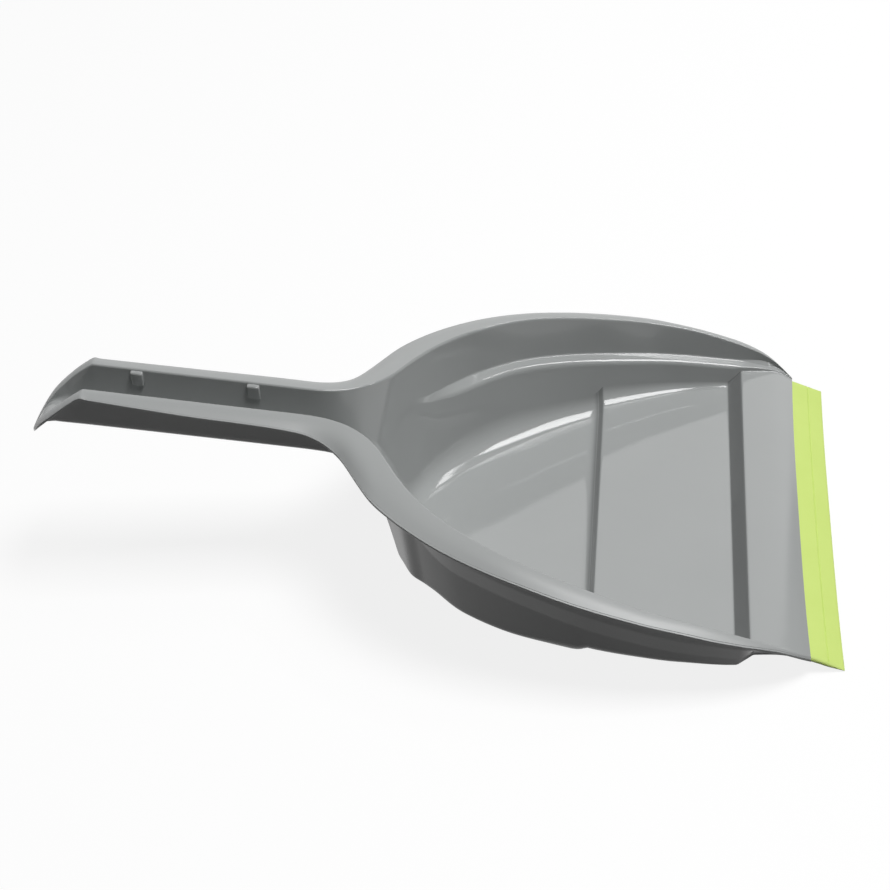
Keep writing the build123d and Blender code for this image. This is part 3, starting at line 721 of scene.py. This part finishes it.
def make_pan():
    half, satin, riser_shade = half_sections()
    count = half.shape[1]
    y = np.concatenate([half[:, :, 0], -half[:, -2:0:-1, 0]], axis=1)
    z = both_halves(half[:, :, 1])
    around = y.shape[1]
    back = np.repeat(stations[:, None], around, axis=1)
    back = back + front_bow(y, back)
    verts = [tuple(v) for v in np.stack([OVERALL_LENGTH / 2 - back, y, z], axis=2).reshape(-1, 3)]
    faces = shell_faces(around) + front_cap(y[0], count, around) + rear_cap(count, around)
    nub_places = [NECK_BACK + (CORNER_BACK - NECK_BACK) * share for share in NUB_SHARES]
    pieces = [make_nub(place, side) for place in nub_places for side in (-1, 1)]
    for more, quads in pieces + [make_tongue()]:
        faces += [[i + len(verts) for i in quad] for quad in quads]
        verts += more
    obj = add_mesh("pan_shell", np.array(verts) * MM, faces)
    # Point attributes for the material: satin, and the share of painted shade on the risers
    for name, half_values in (("satin", satin), ("riser_shade", riser_shade)):
        values = np.zeros(len(verts))
        values[:len(stations) * around] = both_halves(half_values).ravel()
        obj.data.attributes.new(name, "FLOAT", "POINT").data.foreach_set("value", values)
    return obj


def lip_top(back):
    heights = [LIP_TIP_THICKNESS, LIP_CREASE_HEIGHT, LIP_ROOT_HEIGHT]
    return float(np.interp(back, [0.0, LIP_CREASE_BACK, LIP_DEPTH], heights))


def lip_under(back):
    heights = [0.0, LIP_CREASE_HEIGHT - LIP_CREASE_THICKNESS, LIP_ROOT_HEIGHT - WALL]
    return float(np.interp(back, [0.0, LIP_CREASE_BACK, LIP_DEPTH], heights))


def sweep_across(outline, columns):
    """Closed outline of (back, height) points carried across the pan, with the front's bow."""
    verts = []
    faces = []
    n = len(outline)
    for y in columns:
        for back, height in outline:
            verts.append((OVERALL_LENGTH / 2 - back - float(front_bow(y, back)), y, height))
    for c in range(len(columns) - 1):
        for p in range(n):
            q = (p + 1) % n
            faces.append((c * n + p, (c + 1) * n + p, (c + 1) * n + q, c * n + q))
    faces.append(list(range(n)))
    faces.append([(len(columns) - 1) * n + p for p in reversed(range(n))])
    return verts, faces


def make_tongue():
    """Thin edge of the pan that reaches under the lip's root, with a blunt nose."""
    front = LIP_DEPTH - TONGUE_REACH
    rear = LIP_DEPTH + TONGUE_ROOT
    nose_length, nose_middle, nose_top = TONGUE_NOSE
    at_root, at_front = lip_under(LIP_DEPTH), lip_under(front)
    outline = [(rear, at_root + TONGUE_THICKNESS), (LIP_DEPTH, at_root + TONGUE_THICKNESS),
               (front, at_front + nose_top), (front - nose_length, at_front + nose_middle),
               (front, at_front), (LIP_DEPTH, at_root), (rear, at_root + nose_length)]
    return sweep_across(outline, np.linspace(-TONGUE_HALF_LENGTH, TONGUE_HALF_LENGTH, TONGUE_COLUMNS))


def lip_outline():
    """Outline of the strip: its top with a groove at the crease, its tip, and the slot for the tongue."""
    crease = LIP_CREASE_BACK
    near, far = GROOVE_HALF_WIDTHS
    outline = [(back, lip_top(back)) for back in np.linspace(LIP_DEPTH, crease + far, LIP_ROOT_POINTS)]
    outline.append((crease + near, lip_top(crease + near) - GROOVE_SHOULDER))
    outline.append((crease, lip_top(crease) - GROOVE_DEPTH))
    outline.append((crease - near, lip_top(crease - near) - GROOVE_SHOULDER))
    blade_backs = np.linspace(crease - far, LIP_TOP_START, LIP_BLADE_POINTS)
    outline += [(back, lip_top(back)) for back in blade_backs]
    outline.append((LIP_TIP_ROUND, LIP_TIP_SHARES[0] * LIP_TIP_THICKNESS))
    outline.append((0.0, LIP_TIP_SHARES[1] * LIP_TIP_THICKNESS))
    outline.append((LIP_TIP_ROUND, LIP_TIP_ROUND / 2))
    under_backs = np.linspace(LIP_UNDER_START, crease, LIP_UNDER_POINTS)
    outline += [(back, lip_under(back)) for back in under_backs]
    front = LIP_DEPTH - TONGUE_REACH
    outline.append((front - SLOT_LOWER, lip_under(front - SLOT_LOWER)))
    outline.append((front - SLOT_UPPER, lip_under(front) + TONGUE_THICKNESS))
    outline.append((LIP_DEPTH, lip_under(LIP_DEPTH) + TONGUE_THICKNESS))
    return outline


def round_end(x, y, z):
    """A point of the lip, lowered where the upper edge of its ends is rounded off."""
    share = (abs(y) - LIP_HALF_LENGTH + LIP_END_RADIUS) / LIP_END_RADIUS
    under = lip_under(OVERALL_LENGTH / 2 - x)
    drop = 1 - math.sqrt(max(1 - max(share, 0.0) ** 2, 0.0))
    return x, y, z - LIP_END_DROP * (z - under) * drop


def make_lip():
    """The soft strip, carried across the pan, with rounded ends."""
    turns = np.sin(np.radians(LIP_END_TURNS_DEG))
    end = LIP_HALF_LENGTH - LIP_END_RADIUS + LIP_END_RADIUS * turns
    straight = np.linspace(-LIP_STRAIGHT_HALF_LENGTH, LIP_STRAIGHT_HALF_LENGTH, LIP_COLUMNS)
    verts, faces = sweep_across(lip_outline(), np.concatenate([-end[::-1], straight, end]))
    return add_mesh("soft_lip", np.array([round_end(*v) for v in verts]) * MM, faces)


def grey(v):
    return (v, v, v, 1.0)


class Paint:
    """A new material with its principled shader, and the few nodes that both materials use."""

    def __init__(self, name):
        self.material = bpy.data.materials.new(name)
        self.material.use_nodes = True
        self.nodes = self.material.node_tree.nodes
        self.links = self.material.node_tree.links
        self.shader = self.nodes["Principled BSDF"]
        self.coords = self.nodes.new("ShaderNodeTexCoord").outputs["Object"]

    def noise(self, scale, detail, rough):
        node = self.nodes.new("ShaderNodeTexNoise")
        node.inputs["Scale"].default_value = scale
        node.inputs["Detail"].default_value = detail
        node.inputs["Roughness"].default_value = rough
        self.links.new(self.coords, node.inputs["Vector"])
        return node.outputs["Fac"]

    def ramp(self, value, low, high):
        """Colours from low to high, each a place on the ramp and its colour."""
        node = self.nodes.new("ShaderNodeValToRGB")
        for element, (place, colour) in zip(node.color_ramp.elements, (low, high)):
            element.position = place
            element.color = colour
        self.links.new(value, node.inputs["Fac"])
        return node.outputs["Color"]

    def attribute(self, name):
        node = self.nodes.new("ShaderNodeAttribute")
        node.attribute_name = name
        return node.outputs["Fac"]

    def bump(self, height, strength, distance):
        node = self.nodes.new("ShaderNodeBump")
        node.inputs["Strength"].default_value = strength
        node.inputs["Distance"].default_value = distance
        self.links.new(height, node.inputs["Height"])
        self.links.new(node.outputs["Normal"], self.shader.inputs["Normal"])


# Painted shade: the grey by which the risers' colour is multiplied
RISER_PAINTED_SHADE = 0.6
PLASTIC_IOR = 1.48
BUMP_DISTANCE = 0.0003


def pan_material():
    """Moulded plastic: a slightly cloudy grey, glossy with a satin flange, with a very fine grain.

    The risers of the floor's steps are darkened by painted shade, a grey that multiplies their colour."""
    paint = Paint("grey_plastic")
    cloud = paint.noise(scale=14.0, detail=4.0, rough=0.55)
    tint = paint.ramp(cloud, (0.30, (0.374, 0.387, 0.385, 1)), (0.70, (0.388, 0.401, 0.399, 1)))
    # Painted shade on the risers: their colour is multiplied by the riser grey where the riser attribute is
    # set
    shade = paint.nodes.new("ShaderNodeMix")
    shade.data_type = "RGBA"
    shade.blend_type = "MULTIPLY"
    colour_a, colour_b, colour_out = shade.inputs[6], shade.inputs[7], shade.outputs[2]
    paint.links.new(paint.attribute("riser_shade"), shade.inputs["Factor"])
    paint.links.new(tint, colour_a)
    colour_b.default_value = grey(RISER_PAINTED_SHADE)
    paint.links.new(colour_out, paint.shader.inputs["Base Color"])
    fine = paint.noise(scale=1400.0, detail=2.0, rough=0.6)
    gloss = paint.ramp(fine, (0.25, grey(0.055)), (0.75, grey(0.08)))
    satin = paint.ramp(fine, (0.25, grey(0.35)), (0.75, grey(0.38)))
    either = paint.nodes.new("ShaderNodeMix")
    paint.links.new(paint.attribute("satin"), either.inputs["Factor"])
    paint.links.new(gloss, either.inputs["A"])
    paint.links.new(satin, either.inputs["B"])
    paint.links.new(either.outputs["Result"], paint.shader.inputs["Roughness"])
    grain = paint.noise(scale=900.0, detail=2.0, rough=0.6)
    paint.bump(grain, strength=0.025, distance=BUMP_DISTANCE)
    paint.shader.inputs["IOR"].default_value = PLASTIC_IOR
    return paint.material


def lip_material():
    """Soft rubber: lime green, matte, with a fine grain."""
    paint = Paint("lime_rubber")
    cloud = paint.noise(scale=40.0, detail=4.0, rough=0.6)
    tint = paint.ramp(cloud, (0.3, (0.624, 0.790, 0.200, 1)), (0.7, (0.646, 0.810, 0.215, 1)))
    paint.links.new(tint, paint.shader.inputs["Base Color"])
    fine = paint.noise(scale=1500.0, detail=2.0, rough=0.6)
    gloss = paint.ramp(fine, (0.25, grey(0.50)), (0.75, grey(0.64)))
    paint.links.new(gloss, paint.shader.inputs["Roughness"])
    paint.bump(fine, strength=0.15, distance=BUMP_DISTANCE)
    return paint.material


pan = make_pan()
pan.data.materials.append(pan_material())
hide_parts("pan_body")
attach(pan, "pan")

# The soft strip as one mesh, its top grooved over a short stretch on both sides of its crease, in place of
# the lip's two parts; its transform is baked into its points
lip = make_lip()
lip.data.materials.append(lip_material())
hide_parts("lip_root", "lip_blade")
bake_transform(lip)

# Camera at the photograph's angle
ELEVATION = math.radians(32.745)
AZIMUTH = math.radians(7.915)
ROLL = math.radians(-6.078)
TIP_RIGHT = 160.9
TIP_UP = -31.2
TIP_DISTANCE = 1039.5
FOCAL_PIXELS = 2500.0
FRAME_PIXELS = 890.0
SENSOR = 36.0
CLIP_START = 0.01


def make_camera():
    """Camera that sees the middle of the lip's tip at the given place right of and above its centre."""
    toward = Vector((math.sin(AZIMUTH) * math.cos(ELEVATION), -math.cos(AZIMUTH) * math.cos(ELEVATION),
                     math.sin(ELEVATION)))
    forward = -toward
    level = forward.cross(Vector((0, 0, 1))).normalized()
    upright = level.cross(forward)
    right = math.cos(ROLL) * level + math.sin(ROLL) * upright
    up = -math.sin(ROLL) * level + math.cos(ROLL) * upright
    tip = Vector((OVERALL_LENGTH / 2, 0, 0))
    eye = (tip - TIP_RIGHT * right - TIP_UP * up - TIP_DISTANCE * forward) * MM
    data = bpy.data.cameras.new("camera")
    data.lens = FOCAL_PIXELS / FRAME_PIXELS * SENSOR
    data.sensor_width = SENSOR
    data.sensor_fit = "HORIZONTAL"
    data.clip_start = CLIP_START
    obj = bpy.data.objects.new("camera", data)
    turn = Matrix((right, up, toward)).transposed()
    obj.matrix_world = Matrix.Translation(eye) @ turn.to_4x4()
    bpy.context.scene.collection.objects.link(obj)
    return obj


scene = bpy.context.scene
scene.camera = make_camera()
scene.view_settings.view_transform = "Standard"


def softbox(name, place, target, size, brightness):
    """Area light of the given brightness, where 1 is a white surface, out of the camera's sight."""
    data = bpy.data.lights.new(name, "AREA")
    data.shape = "RECTANGLE"
    data.size, data.size_y = size
    data.energy = brightness * math.pi * size[0] * size[1]
    obj = bpy.data.objects.new(name, data)
    obj.location = place
    direction = Vector(target) - Vector(place)
    obj.rotation_euler = direction.to_track_quat("-Z", "Y").to_euler()
    obj.visible_camera = False
    scene.collection.objects.link(obj)


# Soft studio light: a large softbox overhead on the right, and a long one behind on the right
softbox("key", place=(0.99, 0.11, 2.4), target=(0.99, 0.11, 0.0), size=(1.26, 1.29), brightness=12.6)
softbox("rim", place=(0.883, 0.914, 1.544), target=(0.0, 0.03, 0.0), size=(0.75, 0.12), brightness=8.7)

# Surroundings: white to the camera, and dim in reflections but for two bright panels, a backdrop behind the
# object and a wide one behind it on the left. Each border is a direction, and the places along it where
# the panel starts and is full.
WORLD_DIM = 0.04
WORLD_BRIGHT = 1.15
BACKDROP = (((0.0, 0.0, -1.0), -0.72, -0.60), ((-0.11, 1.0, 0.0), 0.7695, 0.7735))
LEFT_PANEL = (((-0.9, 0.0, -1.0), -0.85, -0.72), ((-1.0, 0.0, 0.0), 0.0, 0.1), ((0.0, 1.0, 0.0), 0.05, 0.4))
HORIZON = ((0.0, 0.0, 1.0), 0.0, 0.3)
HORIZON_SHARE = 0.55


def make_world():
    world = bpy.data.worlds.new("world")
    scene.world = world
    world.use_nodes = True
    nodes = world.node_tree.nodes
    links = world.node_tree.links
    direction = nodes.new("ShaderNodeTexCoord").outputs["Generated"]
    path = nodes.new("ShaderNodeLightPath")

    def share(normal, start, end, least=0.0):
        """The least before start and 1 after end, along the given direction."""
        along = nodes.new("ShaderNodeVectorMath")
        along.operation = "DOT_PRODUCT"
        along.inputs[1].default_value = normal
        links.new(direction, along.inputs[0])
        step = nodes.new("ShaderNodeMapRange")
        step.interpolation_type = "SMOOTHSTEP"
        step.inputs["From Min"].default_value = start
        step.inputs["From Max"].default_value = end
        step.inputs["To Min"].default_value = least
        links.new(along.outputs["Value"], step.inputs["Value"])
        return step.outputs["Result"]

    def combined(operation, first, second):
        node = nodes.new("ShaderNodeMath")
        node.operation = operation
        links.new(first, node.inputs[0])
        links.new(second, node.inputs[1])
        return node.outputs["Value"]

    def panel(borders):
        lit = share(*borders[0])
        for border in borders[1:]:
            lit = combined("MULTIPLY", lit, share(*border))
        return lit

    lit = combined("MAXIMUM", panel(BACKDROP), panel(LEFT_PANEL))
    lit = combined("MULTIPLY", lit, share(*HORIZON, HORIZON_SHARE))
    mirrored = combined("MAXIMUM", path.outputs["Is Glossy Ray"], path.outputs["Is Transmission Ray"])
    lit = combined("MULTIPLY", lit, mirrored)
    level = nodes.new("ShaderNodeMapRange")
    level.inputs["To Min"].default_value = WORLD_DIM
    level.inputs["To Max"].default_value = WORLD_BRIGHT
    links.new(lit, level.inputs["Value"])
    strength = combined("MAXIMUM", level.outputs["Result"], path.outputs["Is Camera Ray"])
    links.new(strength, nodes["Background"].inputs["Strength"])
    nodes["Background"].inputs["Color"].default_value = grey(1.0)


make_world()

# Floor: white to the camera, a light grey in reflections, and dark to other rays so that it throws little
# light back. Each of the first two is a glow and a paint, which takes the object's soft shadow.
FLOOR_REACH = 12.0
FLOOR_DROP = 0.0003
FLOOR_GLOW = 0.85
FLOOR_SHADED = 0.16
MIRRORED_GLOW = 0.55
MIRRORED_SHADED = 0.45
FLOOR_BOUNCE = 0.06


def floor_material():
    material = bpy.data.materials.new("floor_paint")
    material.use_nodes = True
    nodes = material.node_tree.nodes
    links = material.node_tree.links
    nodes.remove(nodes["Principled BSDF"])
    path = nodes.new("ShaderNodeLightPath")
    mirrored = nodes.new("ShaderNodeMath")
    mirrored.operation = "MAXIMUM"
    links.new(path.outputs["Is Glossy Ray"], mirrored.inputs[0])
    links.new(path.outputs["Is Transmission Ray"], mirrored.inputs[1])

    def paint(colour):
        node = nodes.new("ShaderNodeBsdfDiffuse")
        node.inputs["Color"].default_value = grey(colour)
        return node.outputs["BSDF"]

    def glowing(strength, colour):
        glow = nodes.new("ShaderNodeEmission")
        glow.inputs["Strength"].default_value = strength
        both = nodes.new("ShaderNodeAddShader")
        links.new(glow.outputs["Emission"], both.inputs[0])
        links.new(paint(colour), both.inputs[1])
        return both.outputs["Shader"]

    def chosen(share, without, within):
        node = nodes.new("ShaderNodeMixShader")
        links.new(share, node.inputs["Fac"])
        links.new(without, node.inputs[1])
        links.new(within, node.inputs[2])
        return node.outputs["Shader"]

    surface = chosen(path.outputs["Is Camera Ray"], paint(FLOOR_BOUNCE), glowing(FLOOR_GLOW, FLOOR_SHADED))
    surface = chosen(mirrored.outputs["Value"], surface, glowing(MIRRORED_GLOW, MIRRORED_SHADED))
    links.new(surface, nodes["Material Output"].inputs["Surface"])
    return material


def make_floor():
    mesh = bpy.data.meshes.new("floor")
    corners = [(x * FLOOR_REACH, y * FLOOR_REACH, 0) for x, y in ((-1, -1), (1, -1), (1, 1), (-1, 1))]
    mesh.from_pydata(corners, [], [(0, 1, 2, 3)])
    mesh.materials.append(floor_material())
    obj = bpy.data.objects.new("floor", mesh)
    obj.location.z = -FLOOR_DROP
    scene.collection.objects.link(obj)
    return obj


make_floor()
